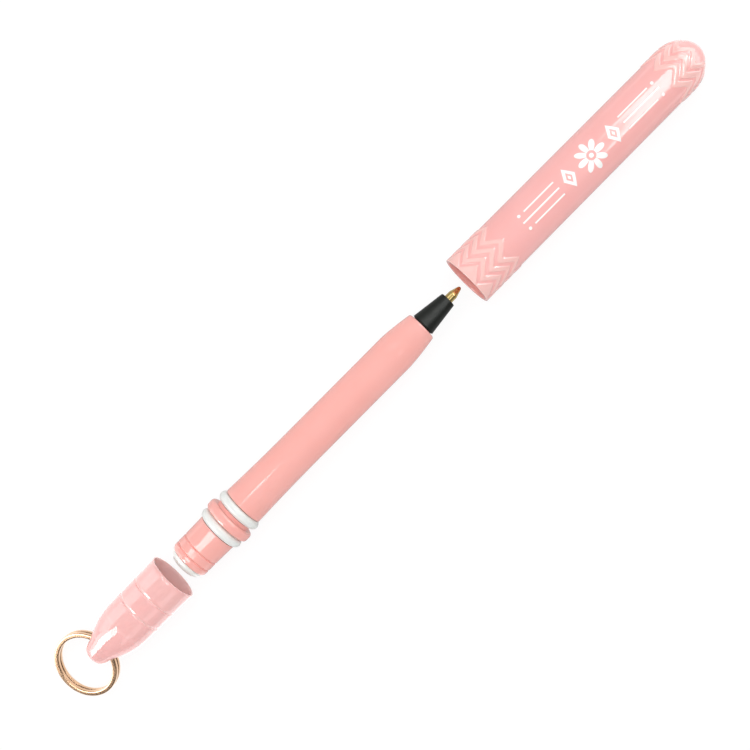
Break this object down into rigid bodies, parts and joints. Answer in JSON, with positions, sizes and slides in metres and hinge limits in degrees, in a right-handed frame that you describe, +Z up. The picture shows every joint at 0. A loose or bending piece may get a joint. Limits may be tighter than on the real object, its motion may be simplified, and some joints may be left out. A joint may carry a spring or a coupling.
{
  "type": "pocket pen",
  "caption": "Small capsule pen with its long cap and its key cap pulled off in line, sealing rings beside a collar, and a split ring for keys.",
  "frame": {"origin": "on the table, under the middle of the whole layout", "axes": "+X along the pen from the key ring to the closed end of the cap, +Z up from the table"},
  "size_m": [0.1868, 0.0145, 0.0118],
  "materials": {
    "barrel_plastic": "moulded salmon pink plastic, soft gloss",
    "cap_plastic": "moulded rose pink plastic, glossy",
    "seal_rubber": "off-white silicone rubber, satin",
    "white_plastic": "milky white plastic, slightly translucent",
    "black_plastic": "black moulded plastic, satin",
    "brass": "turned bright brass",
    "ball_steel": "polished ball",
    "tube_plastic": "milky extruded tube",
    "ink_paste": "black ink paste",
    "gold_wire": "gold plated flat wire, polished"
  },
  "bodies": {
    "pen": {"barrel": "barrel_plastic", "front_seal_ring": "seal_rubber", "rear_seal_ring": "seal_rubber", "end_plug": "white_plastic", "nose_cone": "black_plastic", "tip_body": "brass", "ink_tube": "tube_plastic", "ink": "ink_paste"},
    "point_ball": {"writing_ball": "ball_steel"},
    "cap": {"cap": "cap_plastic"},
    "key_cap": {"key_cap": "cap_plastic"},
    "key_ring": {"split_ring": "gold_wire"}
  },
  "joints": [
    {"name": "cap_pull", "type": "slide", "parent": "pen", "child": "cap", "axis": [1, 0, 0], "range_m": [-0.0683, 0]},
    {"name": "key_cap_pull", "type": "slide", "parent": "pen", "child": "key_cap", "axis": [-1, 0, 0], "range_m": [-0.0152, 0]},
    {"name": "ring_swing", "type": "hinge", "parent": "key_cap", "child": "key_ring", "pos_m": [-0.08074, 0, 0.00591], "axis": [0, 1, 0], "range_deg": [-74, 116]},
    {"name": "ball_roll", "type": "hinge", "parent": "pen", "child": "point_ball", "pos_m": [0.02331, 0, 0.00591], "axis": [0, 1, 0], "continuous": true}
  ]
}
